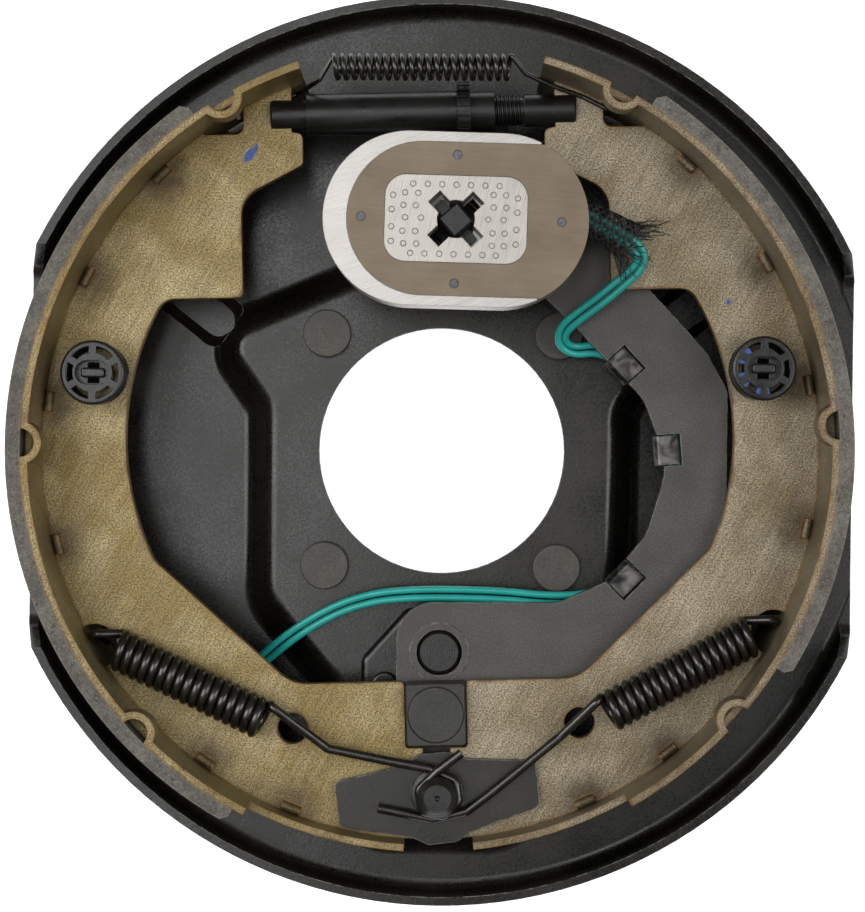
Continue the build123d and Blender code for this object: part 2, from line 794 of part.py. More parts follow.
def magnet_facing():
    low = magnet_face_height - facing_thickness
    hole = offset(core_face(), seat_gap)
    inner = offset(magnet_inner_face(), -seat_gap / 2) - hole
    facing = raised(inner, low, magnet_face_height)
    end = beyond_cut(oval(magnet_length, magnet_width)) - coil_room()
    facing += raised(end, magnet_back + case_back, low)
    for x, y in face_pin_places:
        facing -= rod(x, y, face_pin_r + seat_gap, low - 1, magnet_face_height + 1)
    return at_magnet(facing)


def coil_room():
    """Oval channel round the core in which the winding lies."""
    return oval(core_length + 17.0, core_width + 17.0)


def magnet_coil():
    ring = offset(coil_room(), -free_gap) - offset(core_face(), 2 * free_gap)
    low = magnet_back + case_back + seat_gap
    high = magnet_face_height - facing_thickness - seat_gap
    return at_magnet(raised(ring, low, high))


def magnet_face_pins():
    low = magnet_face_height - facing_thickness
    pins = [at_magnet(rod(x, y, face_pin_r, low, magnet_face_height - 0.3)) for x, y in face_pin_places]
    return Compound(pins)


# Springs
def coil_path(start, end, coil_r, turns):
    """Helix whose axis runs from start to end."""
    axis = Vector(*end) - Vector(*start)
    length = axis.length
    return Helix(length / turns, length, coil_r, center=Vector(*start), direction=axis)


def return_spring(side):
    """Drawn for the left: outer hook through the web's notch, coil, leg and loop on the anchor post."""
    low = guide_front + return_wire_r + 0.8
    coil_z = web_front + free_gap + return_wire_r + return_coil_r
    start = (-return_outer[0], return_outer[1], coil_z)
    end = (-return_inner[0], return_inner[1], coil_z)
    coil = coil_path(start, end, return_coil_r, return_turns)
    if side < 0:
        # the loop goes right round the post's groove and climbs over its own leg
        rest = (
            (-33.0, 15.0, low + 1.3), (-15.0, 10.9, low + 1.2), (-2.1, 8.2, low + 1.3), (5.6, 4.6, low + 2.2),
            (6.4, -1.6, low + 2.9), (1.5, -6.0, low + 3.2), (-4.6, -4.4, low + 3.3), (-5.7, 2.2, low + 3.5),
            (0.6, 8.2, low + 4.7), (7.6, 13.3, low + 5.2),
        )
    else:
        rest = (
            (-38.0, 17.2, low), (-27.0, 8.6, low), (-16.2, 0.2, low), (-8.6, -5.2, low), (1.5, -7.4, low),
            (18.2, -3.6, low),
        )
    first = coil @ 1
    leg = FilletPolyline(first, first + (coil % 1) * 2.6, *rest, radius=1.9)
    last = coil @ 0
    hook = FilletPolyline(
        last, last - (coil % 0) * 3.0, Vector(-104.8, 51.4, coil_z), Vector(-101.6, 48.2, web_back - 4.0),
        radius=1.9,
    )
    path = Wire(hook.edges() + [coil.edge()] + leg.edges())
    return shoe_frame(on_side(swept(path, return_wire_r), side))


def adjuster_spring():
    """Coil over the adjuster, its two ends hooked round the necks of the webs."""
    z = web_front + 5.0
    over = web_front + 2 * adjuster_wire_r
    under = web_back - 2 * adjuster_wire_r
    start = (-adjuster_coil_half, adjuster_coil_offset, z)
    end = (adjuster_coil_half, adjuster_coil_offset - 1.4, z)
    coil = coil_path(start, end, adjuster_coil_r, adjuster_turns)
    first = coil @ 1
    right = FilletPolyline(
        first, first + (coil % 1) * 1.5, Vector(31.5, 219.2, z), Vector(39.0, 216.0, over + 1),
        Vector(49.0, 212.3, over), Vector(56.4, 208.4, over), Vector(56.5, 208.2, under - 1), radius=0.9,
    )
    last = coil @ 0
    left = FilletPolyline(
        last, last - (coil % 0) * 1.5, Vector(-31.5, 219.2, z - 3.0), Vector(-39.0, 216.0, under),
        Vector(-49.0, 212.3, under), Vector(-56.4, 208.4, under), Vector(-56.5, 208.2, over + 1), radius=0.9,
    )
    path = Wire(left.edges() + [coil.edge()] + right.edges())
    return shoe_frame(swept(path, adjuster_wire_r))


def hold_down_spring(side):
    x, y = shoe_point(*hold_down_place(side))
    low = web_front + hold_wire_r + free_gap
    high = web_front + cup_height - cup_sheet - hold_wire_r - 0.05
    coil = Pos(x, y, low) * Helix((high - low) / hold_turns, high - low, hold_coil_r)
    return swept(coil, hold_wire_r)


def hold_down_cup(side):
    x, y = shoe_point(*hold_down_place(side))
    front = web_front + cup_height
    cup = rod(0, 0, cup_r, front - cup_skirt, front)
    cup = fillet(cup.edges().group_by(Axis.Z)[-1], cup_sheet * 0.8)
    cup -= rod(0, 0, cup_r - cup_sheet / 2 + 0.25, front - cup_skirt - 1, front - cup_sheet)
    slots = Circle(cup_slot_outer_r) - Circle(cup_slot_inner_r)
    for number in range(cup_spokes):
        spoke = Rot(0, 0, 30 + number * 360 / cup_spokes) * Pos(cup_r / 2, 0)
        slots -= spoke * Rectangle(cup_r, cup_spoke_width)
    cup -= raised(slots, front - cup_skirt, front + 1)
    recess = oval(recess_length, recess_width)
    outer = offset(recess, cup_sheet * 0.6)
    cup += raised(outer, front - recess_depth - cup_sheet, front)
    cup -= raised(recess, front - recess_depth, front + 1)
    cup -= raised(Rectangle(pin_head_width + 2 * free_gap, pin_head_length - 1),
                  front - recess_depth - 2 * cup_sheet, front)
    return Pos(x, y) * cup


def hold_down_pin(side):
    x, y = shoe_point(*hold_down_place(side))
    front = web_front + cup_height
    head_low = front - recess_depth + 0.05
    pin = rod(0, 0, hold_pin_r * 0.6, floor_back - 0.5, head_low + 0.5)
    foot = rod(0, 0, pin_foot_r, floor_back - pin_foot_height, floor_back)
    foot = fillet(foot.edges().group_by(Axis.Z)[0], 0.8)
    head = raised(RectangleRounded(pin_head_length, pin_head_width, 0.9), head_low, head_low + pin_head_height)
    head = fillet(head.edges().group_by(Axis.Z)[-1], 0.7)
    return Pos(x, y) * (pin + foot + head)


def follow_up_spring():
    low = lever_front + follow_wire_r + 0.05
    high = magnet_back - follow_wire_r - 0.1
    steps = 12 * follow_turns
    points = []
    for number in range(steps + 1):
        share = number / steps
        radius = follow_base_r + (follow_top_r - follow_base_r) * share
        turn = 2 * math.pi * follow_turns * share
        points.append((radius * math.cos(turn), radius * math.sin(turn), low + (high - low) * share))
    return at_magnet(swept(Spline(*points), follow_wire_r))


# Leads: two wires side by side from the magnet, round and behind the lever, to the grommet
lever_route = (
    (37.4, 73.2, 34.3), (42.0, 71.8, 33.6), (47.6, 69.2, 32.6), (53.4, 66.0, 31.3), (59.8, 61.8, 29.9),
    (60.0, 57.2, 28.6), (54.6, 52.2, 26.8), (48.2, 46.8, 24.7), (42.0, 42.2, 21.4), (37.2, 38.2, 17.8),
    (36.6, 34.0, 13.8), (40.8, 31.4, 11.2), (48.8, 32.6, 11.1), (57.4, 27.8, 11.0), (66.4, 16.6, 11.1),
    (71.0, 1.6, 11.0), (70.6, -13.0, 11.1), (66.4, -27.6, 11.0), (58.2, -40.0, 11.1), (47.2, -45.4, 11.0),
    (34.0, -46.2, 11.1), (18.0, -44.6, 10.8), (2.0, -44.6, 10.8),
)
plate_route = (
    (2.0, -44.6, 10.8), (-13.0, -44.6, 10.8), (-29.0, -48.2, 8.6), (-43.6, -56.4, 5.0), (-55.2, -66.0, 0.2),
    (-62.5, -72.5, -3.9), (-66.1, -76.1, -7.8), (-67.0, -77.0, -14.7),
)
tail_route = (
    (-67.0, -77.0, -14.7), (-67.3, -77.3, -17.0), (-69.5, -79.5, -18.6), (-75.0, -82.8, -18.9),
    (-85.0, -81.6, -18.9), (-97.0, -70.0, -18.9), (-104.6, -50.0, -18.9), (-106.0, -28.0, -18.9),
    (-101.0, -6.0, -18.9),
)
sleeve_end = (57.2, 63.5, 30.5)


def lead_path(route, shift):
    """Route moved sideways in plan by shift, with arcs as large as its runs allow."""
    points = []
    for number, point in enumerate(route):
        before = route[max(number - 1, 0)]
        after = route[min(number + 1, len(route) - 1)]
        along = Vector(after[0] - before[0], after[1] - before[1], 0).normalized()
        points.append(Vector(*point) + Vector(-along.Y, along.X, 0) * shift)
    radii = []
    for before, corner, after in zip(points, points[1:], points[2:]):
        turn = math.radians((corner - before).get_angle(after - corner))
        shorter = min((corner - before).length, (after - corner).length)
        radii.append(0.45 * shorter / math.tan(turn / 2))
    return FilletPolyline(*points, radius=radii), radii


def lead(route, side):
    path, radii = lead_path(route, side * lead_pitch / 2)
    tube = swept(path, lead_r)
    expected = math.pi * lead_r ** 2 * path.length
    print("lead length", round(path.length, 1), "volume ratio", round(tube.volume / expected, 4))
    print("lead radii", [round(radius, 1) for radius in radii])
    return tube


def lead_sleeve():
    path, _ = lead_path((*lever_route[:4], sleeve_end), 0)
    outer = swept(path, sleeve_r + 0.5)
    start = path @ 0
    bore = Plane(origin=start, z_dir=path % 0) * Circle(sleeve_r)
    return outer - sweep(bore, path=path)


def grommet():
    x, y = grommet_place
    body = rod(x, y, grommet_hole_r - seat_gap, floor_back - grommet_flange, floor_front + grommet_flange)
    for low in (floor_front, floor_back - grommet_flange):
        flange = rod(x, y, grommet_flange_r, low, low + grommet_flange)
        body += fillet(flange.edges().filter_by(GeomType.CIRCLE), 0.6)
    for side in (-1, 1):
        for route in (plate_route, tail_route[:3]):
            path, _ = lead_path(route, side * lead_pitch / 2)
            body -= swept(path, lead_r + seat_gap)
    return body


def slot_plug():
    face = adjusting_slot_face()
    inner = offset(face, -seat_gap)
    plug = raised(inner, floor_back, floor_front + 1.0)
    lip = raised(offset(face, plug_lip), floor_back - 1.5, floor_back)
    plug += fillet(lip.edges().group_by(Axis.Z)[0], 0.6)
    plug -= raised(offset(face, -plug_wall), floor_back + 1.0, floor_front + 2.0)
    return plug


def main():
    save(backing_plate(), "backing_plate")
    save(mounting_studs(), "mounting_studs")
    save(anchor_support_plate(), "anchor_support_plate")
    save(support_rivets(), "support_rivets")
    save(anchor_post(), "anchor_post")
    save(lever_pivot_pin(), "lever_pivot_pin")
    save(guide_plate(), "shoe_guide_plate")
    for side, name, lining_end in ((-1, "secondary", secondary_lining_end), (1, "primary", primary_lining_end)):
        save(shoe_web(side), f"{name}_shoe_web")
        save(shoe_table(side), f"{name}_shoe_table")
        save(shoe_lining(side, lining_end), f"{name}_lining")
        save(return_spring(side), f"{name}_return_spring")
        save(hold_down_pin(side), f"{name}_hold_down_pin")
        save(hold_down_spring(side), f"{name}_hold_down_spring")
        save(hold_down_cup(side), f"{name}_hold_down_cup")
    save(adjuster_tube(), "adjuster_tube")
    save(star_wheel_nut(), "star_wheel_nut")
    save(adjuster_screw(), "adjuster_screw")
    save(adjuster_spring(), "adjuster_spring")
    save(actuating_lever(), "actuating_lever")
    save(lead_clips(), "lead_clips")
    save(block_pin(), "lever_block_pin")
    save(lever_block(), "lever_block")
    save(magnet_stud(), "magnet_stud")
    save(magnet_case(), "magnet_case")
    save(magnet_core(), "magnet_core")
    save(magnet_facing(), "magnet_facing")
    save(magnet_coil(), "magnet_coil")
    save(magnet_face_pins(), "magnet_face_pins")
    save(follow_up_spring(), "magnet_follow_up_spring")
    save(lead_sleeve(), "lead_sleeve")
    for side, letter in ((-1, "a"), (1, "b")):
        save(lead(lever_route, side), f"lever_lead_{letter}")
        save(lead(plate_route, side), f"plate_lead_{letter}")
        save(lead(tail_route, side), f"lead_tail_{letter}")
    save(grommet(), "lead_grommet")
    save(slot_plug(), "adjusting_slot_plug")


main()
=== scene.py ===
import math
import random

import bmesh
import bpy
from mathutils import Matrix, Vector


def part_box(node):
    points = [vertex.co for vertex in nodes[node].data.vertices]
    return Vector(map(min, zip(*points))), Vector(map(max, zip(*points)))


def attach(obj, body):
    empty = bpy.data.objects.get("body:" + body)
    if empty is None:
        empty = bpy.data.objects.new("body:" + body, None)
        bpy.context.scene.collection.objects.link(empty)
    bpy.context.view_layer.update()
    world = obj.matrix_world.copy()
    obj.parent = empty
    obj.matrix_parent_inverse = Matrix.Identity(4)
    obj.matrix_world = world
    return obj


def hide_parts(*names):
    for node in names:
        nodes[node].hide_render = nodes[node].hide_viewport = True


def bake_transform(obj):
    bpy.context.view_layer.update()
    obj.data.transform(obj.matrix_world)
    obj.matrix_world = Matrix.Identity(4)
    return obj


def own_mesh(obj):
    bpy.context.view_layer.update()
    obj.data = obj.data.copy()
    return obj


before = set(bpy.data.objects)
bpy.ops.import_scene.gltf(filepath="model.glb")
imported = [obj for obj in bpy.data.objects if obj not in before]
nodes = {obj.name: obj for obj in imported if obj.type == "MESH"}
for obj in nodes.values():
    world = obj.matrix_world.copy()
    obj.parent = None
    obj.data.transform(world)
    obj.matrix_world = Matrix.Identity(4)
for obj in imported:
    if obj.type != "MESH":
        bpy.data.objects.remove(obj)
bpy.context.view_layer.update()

scene = bpy.context.scene

MM = 0.001

# Places and heights taken from the solids
web_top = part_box("shoe_guide_plate")[0][2]
magnet_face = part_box("magnet_case")[1][2]
floor_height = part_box("mounting_studs")[0][2]

# The shoes lean about the anchor post, and the adjuster and springs with them
anchor = Vector((0, -105.0, 0)) * MM
shoe_lean = math.radians(1.9)
adjuster_height = 209.0 * MM
adjuster_z = 21.5 * MM
shoe_circle = 105.2 * MM

# Welds between web and table, by their angle from the top of the shoe circle
weld_angles = (43.0, 62.0, 81.5, 103.0, 143.0, 157.5)
weld_r = 117.9 * MM

# The magnet's middle and turn
magnet_centre = Vector((3.4, 68.2, 0)) * MM
magnet_turn = math.radians(-1.0)


def shoe_point(x, y, z):
    """Place of a point given in the upright shoe frame, whose origin is the anchor post."""
    return anchor + Matrix.Rotation(shoe_lean, 3, "Z") @ Vector((x, y, z))


def magnet_point(x, y, z):
    """Place of a point given about the magnet's middle."""
    return magnet_centre + Matrix.Rotation(magnet_turn, 3, "Z") @ Vector((x, y, z))


# Materials
noise_range = (0.3, 0.7)
bevel_samples = 6

# Cosines between the rounded and the true normal, on a flat and on an edge
flat_cosine = 0.999
edge_cosine = 0.86


class Finish:
    """A node material, built a few nodes at a time."""

    def __init__(self, name):
        self.material = bpy.data.materials.new(name)
        self.material.use_nodes = True
        self.tree = self.material.node_tree
        self.shader = self.tree.nodes["Principled BSDF"]
        self.place = self.add("ShaderNodeTexCoord").outputs["Object"]

    def add(self, kind, sockets=None, **settings):
        """A new node with its settings made and its inputs fed."""
        made = self.tree.nodes.new(kind)
        for key, value in settings.items():
            setattr(made, key, value)
        for key, value in (sockets or {}).items():
            self.feed(made.inputs[key], value)
        return made

    def feed(self, socket, value):
        """Give a socket another node's output, a colour or a number."""
        if isinstance(value, bpy.types.NodeSocket):
            self.tree.links.new(value, socket)
        elif socket.type == "RGBA" and len(value) == 3:
            socket.default_value = (*value, 1)
        else:
            socket.default_value = value

    def moved(self, scale=(1, 1, 1), turn=0.0):
        """Texture place, turned about Z and then stretched."""
        turned = self.add("ShaderNodeMapping", {"Vector": self.place, "Rotation": (0, 0, turn)})
        return self.add("ShaderNodeMapping", {"Vector": turned.outputs[0], "Scale": scale}).outputs[0]

    def noise(self, size, detail=3.0, rough=0.5, place=None, distortion=0.0):
        """Cloudy noise whose blobs are about size metres across."""
        sockets = {"Vector": place or self.place, "Scale": 1 / size, "Detail": detail, "Roughness": rough}
        sockets["Distortion"] = distortion
        return self.add("ShaderNodeTexNoise", sockets).outputs["Fac"]

    def cells(self, size, place=None):
        """Distance from the middle of cells about size metres across."""
        sockets = {"Vector": place or self.place, "Scale": 1 / size}
        return self.add("ShaderNodeTexVoronoi", sockets).outputs["Distance"]

    def span(self, value, low, high, out_low=0.0, out_high=1.0):
        """Straight step from out_low below low to out_high above high."""
        sockets = {"Value": value, "From Min": low, "From Max": high, "To Min": out_low, "To Max": out_high}
        return self.add("ShaderNodeMapRange", sockets).outputs[0]

    def spread(self, noise, out_low=0.0, out_high=1.0):
        """A noise stretched from the range that it mostly keeps to."""
        return self.span(noise, *noise_range, out_low, out_high)

    def maths(self, operation, first, second=0):
        """The output of a maths node; an operation on one value ignores the second."""
        return self.add("ShaderNodeMath", {0: first, 1: second}, operation=operation).outputs[0]

    def plus(self, first, second):
        return self.maths("ADD", first, second)

    def times(self, first, second):
        return self.maths("MULTIPLY", first, second)

    def mix(self, share, under, over):
        """The colour over laid on the colour under, by a share that varies."""
        under_input, over_input, colour_output = 6, 7, 2
        sockets = {"Factor": share, under_input: under, over_input: over}
        return self.add("ShaderNodeMix", sockets, data_type="RGBA").outputs[colour_output]

    def scaled(self, colour, share):
        """A colour made darker or lighter by a factor that varies."""
        factor = self.add("ShaderNodeVectorMath", {0: colour, "Scale": share}, operation="SCALE")
        return factor.outputs[0]

    def nearest(self, places, flat=False):
        """Distance to the nearest of some places, in plan only where flat is set."""
        from_here = self.place
        if flat:
            in_plan = {0: self.place, 1: (1, 1, 0)}
            from_here = self.add("ShaderNodeVectorMath", in_plan, operation="MULTIPLY").outputs[0]
        shortest = None
        for place in places:
            away = self.add("ShaderNodeVectorMath", {0: from_here, 1: tuple(place)}, operation="DISTANCE")
            away = away.outputs["Value"]
            shortest = away if shortest is None else self.maths("MINIMUM", shortest, away)
        return shortest

    def edges(self, radius):
        """1 on the edges of a solid, 0 on its flats."""
        bevel = self.add("ShaderNodeBevel", {"Radius": radius}, samples=bevel_samples).outputs[0]
        flat = self.add("ShaderNodeNewGeometry").outputs["Normal"]
        same = self.add("ShaderNodeVectorMath", {0: bevel, 1: flat}, operation="DOT_PRODUCT")
        return self.span(same.outputs["Value"], flat_cosine, edge_cosine)

    def relief(self, height, depth, strength=1.0, radius=0.0):
        """Bump of a height map on top of softly rounded edges."""
        sockets = {"Height": height, "Distance": depth, "Strength": strength}
        if radius:
            rounded = self.add("ShaderNodeBevel", {"Radius": radius}, samples=bevel_samples)
            sockets["Normal"] = rounded.outputs[0]
        return self.add("ShaderNodeBump", sockets).outputs[0]

    def done(self, **sockets):
        """The material, once its shader's own inputs are fed."""
        names = {"colour": "Base Color", "specular": "Specular IOR Level", "coat": "Coat Weight",
                 "coat_roughness": "Coat Roughness"}
        for key, value in sockets.items():
            self.feed(self.shader.inputs[names.get(key, key.capitalize())], value)
        return self.material


def painted_black(name, base, roughness, grain=0.5 * MM, bright_edges=0.0, mottle=0.5):
    """Thin black paint on pressed steel: fine grain, cloudy sheen, dust and worn edges."""
    make = Finish(name)
    clouds = make.noise(28 * MM, 4, 0.6)
    speckle = make.noise(grain, 2, 0.6)
    tone = make.times(make.spread(clouds, 1 - mottle, 1 + mottle), make.spread(speckle, 0.5, 1.6))
    colour = make.scaled(base, tone)
    dust = make.times(make.span(make.noise(0.9 * MM, 2, 0.7), 0.68, 0.76),
                      make.span(clouds, 0.45, 0.65, 0.15, 0.6))
    colour = make.mix(dust, colour, (0.10, 0.096, 0.085))
    if bright_edges:
        worn = make.times(make.edges(0.5 * MM), make.span(make.noise(3 * MM, 4, 0.7), 0.42, 0.58))
        colour = make.mix(make.times(worn, bright_edges), colour, (0.42, 0.40, 0.36))
    shine = make.plus(make.spread(clouds, -0.07, 0.07), make.spread(speckle, -0.06, 0.06))
    shine = make.plus(shine, roughness)
    peel = make.plus(make.noise(grain, 2, 0.5), make.noise(grain * 4, 2, 0.5))
    return make.done(colour=colour, roughness=shine, normal=make.relief(peel, 0.03 * MM, 0.7, 0.35 * MM))


tool_mark_pitch = 0.75 * MM


def dark_steel(name, base, roughness=0.42, turned=()):
    """Blackened steel, rubbed a little brighter on its edges, with tool marks round the axes in turned."""
    make = Finish(name)
    clouds = make.noise(9 * MM, 4, 0.6)
    speckle = make.noise(0.45 * MM, 2, 0.6)
    tone = make.times(make.spread(clouds, 0.65, 1.35), make.spread(speckle, 0.5, 1.6))
    colour = make.scaled(base, tone)
    worn = make.times(make.edges(0.35 * MM), make.span(make.noise(2.2 * MM, 3, 0.6), 0.4, 0.6, 0.15, 0.8))
    colour = make.mix(worn, colour, tuple(min(1, 3.2 * part + 0.02) for part in base))
    scratches = make.noise(0.5 * MM, 3, 0.7, make.moved((1, 0.06, 1), math.radians(35)))
    colour = make.mix(make.span(scratches, 0.68, 0.74, 0, 0.5), colour, (0.2, 0.19, 0.18))
    shine = make.spread(clouds, roughness - 0.1, roughness + 0.1)
    height = make.plus(make.noise(0.5 * MM, 2, 0.5), make.noise(2.5 * MM, 2, 0.5))
    if turned:
        from_axis = make.nearest(turned, flat=True)
        rings = make.maths("SINE", make.times(from_axis, 2 * math.pi / tool_mark_pitch))
        height = make.plus(height, make.times(rings, 0.16))
        colour = make.scaled(colour, make.span(rings, -1, 1, 0.85, 1.2))
    return make.done(colour=colour, roughness=shine, specular=0.5,
                     normal=make.relief(height, 0.07 * MM, 0.7, 0.3 * MM))


def spring_wire():
    """Oiled dark wire with narrow bright glints."""
    make = Finish("spring_steel")
    clouds = make.noise(4 * MM, 3, 0.6)
    fine = make.noise(0.35 * MM, 2, 0.6)
    colour = make.mix(make.span(clouds, 0.35, 0.65), (0.0035, 0.0028, 0.0022), (0.011, 0.0075, 0.005))
    shine = make.plus(make.spread(clouds, 0.2, 0.34), make.spread(fine, -0.03, 0.06))
    return make.done(colour=colour, roughness=shine, specular=0.8,
                     normal=make.relief(fine, 0.012 * MM, 0.4))


def yellow_zinc(name, light, dull, side, brightness=1.0):
    """Dull yellow plating on sheet steel: sandy grain partly painted as glints, olive clouds, brown edges
    and scorched welds.
    """
    make = Finish(name)
    clouds = make.noise(26 * MM, 5, 0.6, distortion=0.4)
    patches = make.noise(7 * MM, 4, 0.6, distortion=0.6)
    grain = make.noise(0.5 * MM, 2, 0.75)
    light = tuple(part * brightness for part in light)
    dull = tuple(part * brightness for part in dull)
    colour = make.mix(make.span(clouds, 0.40, 0.60), dull, light)
    colour = make.mix(make.span(patches, 0.45, 0.75, 0, 0.45), colour, tuple(0.62 * part for part in light))
    drawn = make.noise(0.8 * MM, 3, 0.6, make.moved((1, 0.05, 1), math.radians(28)))
    colour = make.scaled(colour, make.span(drawn, 0.35, 0.65, 0.82, 1.18))
    # real sandy grain, its contrast raised so that its light specks stand in as painted glints of the metal
    colour = make.scaled(colour, make.span(grain, 0.36, 0.64, 0.3, 1.75))
    turns = [math.radians(angle) for angle in weld_angles]
    welds = [shoe_point(side * weld_r * math.sin(turn), shoe_circle + weld_r * math.cos(turn), adjuster_z)
             for turn in turns]
    ragged = make.plus(make.nearest(welds), make.spread(patches, -2.5 * MM, 2.5 * MM))
    colour = make.mix(make.span(ragged, 11 * MM, 3 * MM, 0, 0.8), colour, (0.040, 0.024, 0.012))
    gold = make.times(make.edges(1.5 * MM), make.span(patches, 0.35, 0.6, 0.5, 1.0))
    colour = make.mix(gold, colour, (0.245, 0.130, 0.030))
    stain = make.times(make.edges(2.2 * MM), make.span(make.noise(9 * MM, 4, 0.6), 0.5, 0.62))
    colour = make.mix(stain, colour, (0.105, 0.040, 0.014))
    shine = make.plus(make.spread(clouds, 0.36, 0.48), make.spread(grain, -0.06, 0.08))
    return make.done(colour=colour, roughness=shine, metallic=0.45,
                     normal=make.relief(grain, 0.13 * MM, 0.9, 0.35 * MM))


def ground_steel(name, base, metallic=0.65, brush_turn=70.0):
    """Bright ground steel with fine grinding lines and a few deeper scratches."""
    make = Finish(name)
    lines = make.noise(0.28 * MM, 3, 0.7, make.moved((1, 0.02, 1), math.radians(brush_turn)))
    crossing = make.noise(0.5 * MM, 3, 0.7, make.moved((1, 0.03, 1), math.radians(brush_turn - 47)))
    clouds = make.noise(12 * MM, 4, 0.6)
    tone = make.times(make.spread(lines, 0.78, 1.16), make.spread(clouds, 0.93, 1.06))
    colour = make.scaled(base, tone)
    colour = make.mix(make.span(crossing, 0.66, 0.72, 0, 0.45), colour, tuple(0.45 * part for part in base))
    worn = make.times(make.edges(0.5 * MM), make.span(make.noise(1.5 * MM, 3, 0.6), 0.4, 0.6, 0, 0.7))
    colour = make.mix(worn, colour, (0.12, 0.11, 0.10))
    shine = make.spread(lines, 0.26, 0.44)
    return make.done(colour=colour, roughness=shine, metallic=metallic,
                     normal=make.relief(lines, 0.015 * MM, 0.6, 0.25 * MM))


def friction_facing():
    """Smooth brown facing of the magnet, streaked along its length."""
    make = Finish("magnet_friction_face")
    streaks = make.noise(0.7 * MM, 3, 0.6, make.moved((0.05, 1, 1), math.radians(4)))
    clouds = make.noise(14 * MM, 4, 0.6)
    dust = make.noise(0.6 * MM, 2, 0.7)
    colour = make.mix(make.spread(clouds), (0.165, 0.120, 0.074), (0.225, 0.172, 0.114))
    colour = make.scaled(colour, make.spread(streaks, 0.9, 1.1))
    colour = make.mix(make.span(dust, 0.64, 0.74, 0, 0.35), colour, (0.13, 0.09, 0.055))
    shine = make.spread(streaks, 0.38, 0.5)
    return make.done(colour=colour, roughness=shine, normal=make.relief(streaks, 0.012 * MM, 0.5, 0.2 * MM))


def brake_lining():
    """Moulded friction material: grey-brown, flecked with dark and bright grains."""
    make = Finish("friction_lining")
    clouds = make.noise(8 * MM, 4, 0.65)
    grain = make.noise(0.7 * MM, 3, 0.7)
    chips = make.cells(1.1 * MM)
    colour = make.mix(make.spread(clouds), (0.085, 0.078, 0.070), (0.180, 0.166, 0.146))
    colour = make.scaled(colour, make.span(grain, 0.25, 0.75, 0.5, 1.45))
    colour = make.mix(make.span(chips, 0.16, 0.1), colour, (0.40, 0.34, 0.22))
    dark = make.span(make.noise(1.6 * MM, 2, 0.6), 0.6, 0.7)
    colour = make.mix(make.times(dark, 0.7), colour, (0.05, 0.042, 0.035))
    edge = make.times(make.edges(0.8 * MM), 0.35)
    colour = make.mix(edge, colour, (0.36, 0.33, 0.29))
    broken = make.cells(2.6 * MM, make.moved((1, 1, 0.45)))
    height = make.plus(grain, make.plus(broken, make.noise(2.4 * MM, 3, 0.6)))
    return make.done(colour=colour, roughness=0.78, normal=make.relief(height, 0.28 * MM, 1.0, 0.4 * MM))


def wire_insulation():
    """Smooth teal-green plastic."""
    make = Finish("green_insulation")
    clouds = make.noise(9 * MM, 3, 0.5)
    fine = make.noise(0.9 * MM, 2, 0.5)
    colour = make.mix(make.spread(clouds), (0.010, 0.315, 0.285), (0.020, 0.385, 0.350))
    smudge = make.span(make.noise(3 * MM, 4, 0.7), 0.6, 0.8, 0, 0.35)
    colour = make.mix(smudge, colour, (0.03, 0.18, 0.16))
    shine = make.spread(fine, 0.3, 0.4)
    return make.done(colour=colour, roughness=shine, coat=0.15, coat_roughness=0.2,
                     normal=make.relief(fine, 0.02 * MM, 0.4))


def copper_winding():
    """Lacquered wire wound in layers round the core, darkened between the rows as painted shade and
    lightened on their crowns as painted highlight.
    """
    make = Finish("copper_winding")
    height = make.add("ShaderNodeSeparateXYZ", {0: make.place}).outputs["Z"]
    layer = make.maths("PINGPONG", height, 0.35 * MM)
    rows = make.span(layer, 0, 0.35 * MM)
    # painted shade and highlight: dark copper between the rows of wire, bright copper on their crowns; the
    # rows also drive the bump
    colour = make.mix(rows, (0.16, 0.05, 0.02), (0.58, 0.23, 0.10))
    colour = make.scaled(colour, make.spread(make.noise(3 * MM, 3), 0.85, 1.1))
    return make.done(colour=colour, roughness=0.35, metallic=0.8, normal=make.relief(rows, 0.2 * MM, 0.8))


def plain_dark(name, base, roughness, grain, depth):
    """Rubber, plastic or braid: one dark tone with a faint bloom."""
    make = Finish(name)
    fine = make.noise(grain, 3, 0.6)
    colour = make.scaled(base, make.spread(make.noise(5 * MM, 4, 0.6), 0.6, 1.5))
    shine = make.spread(fine, roughness - 0.07, roughness + 0.07)
    return make.done(colour=colour, roughness=shine, normal=make.relief(fine, depth, 0.6))


def spring_clip():
    """Dark strip of spring steel, with broad soft light streaks painted into its colour as reflections."""
    make = Finish("clip_steel")
    painted_reflection_bands = make.noise(5 * MM, 2, 0.5, distortion=0.8)
    # painted reflection: the colour runs from near black to light grey in broad soft streaks
    colour = make.mix(make.span(painted_reflection_bands, 0.4, 0.66), (0.012, 0.0115, 0.011), (0.16, 0.155, 0.15))
    colour = make.mix(make.edges(0.35 * MM), colour, (0.30, 0.29, 0.28))
    shine = make.spread(painted_reflection_bands, 0.26, 0.36)
    return make.done(colour=colour, roughness=shine, metallic=0.5,
                     normal=make.relief(make.noise(1.5 * MM, 2), 0.03 * MM, 0.4, 0.3 * MM))


def paint_dab(name, base):
    """Brushed marking paint, thin enough to show the grain under it."""
    make = Finish(name)
    grain = make.noise(0.6 * MM, 3, 0.7)
    colour = make.scaled(base, make.spread(grain, 0.55, 1.35))
    return make.done(colour=colour, roughness=0.5, normal=make.relief(grain, 0.05 * MM, 0.7))


# Axes of the turned pieces, which carry ring-shaped tool marks
stud_half = 36.5 * MM
stud_axes = [(x, y, 0) for x in (-stud_half, stud_half) for y in (-stud_half, stud_half)]
pivot_axis = (0, -62.5 * MM, 0)
block_rise = 24.3 * MM
block_axis = shoe_point(0, block_rise, 0)

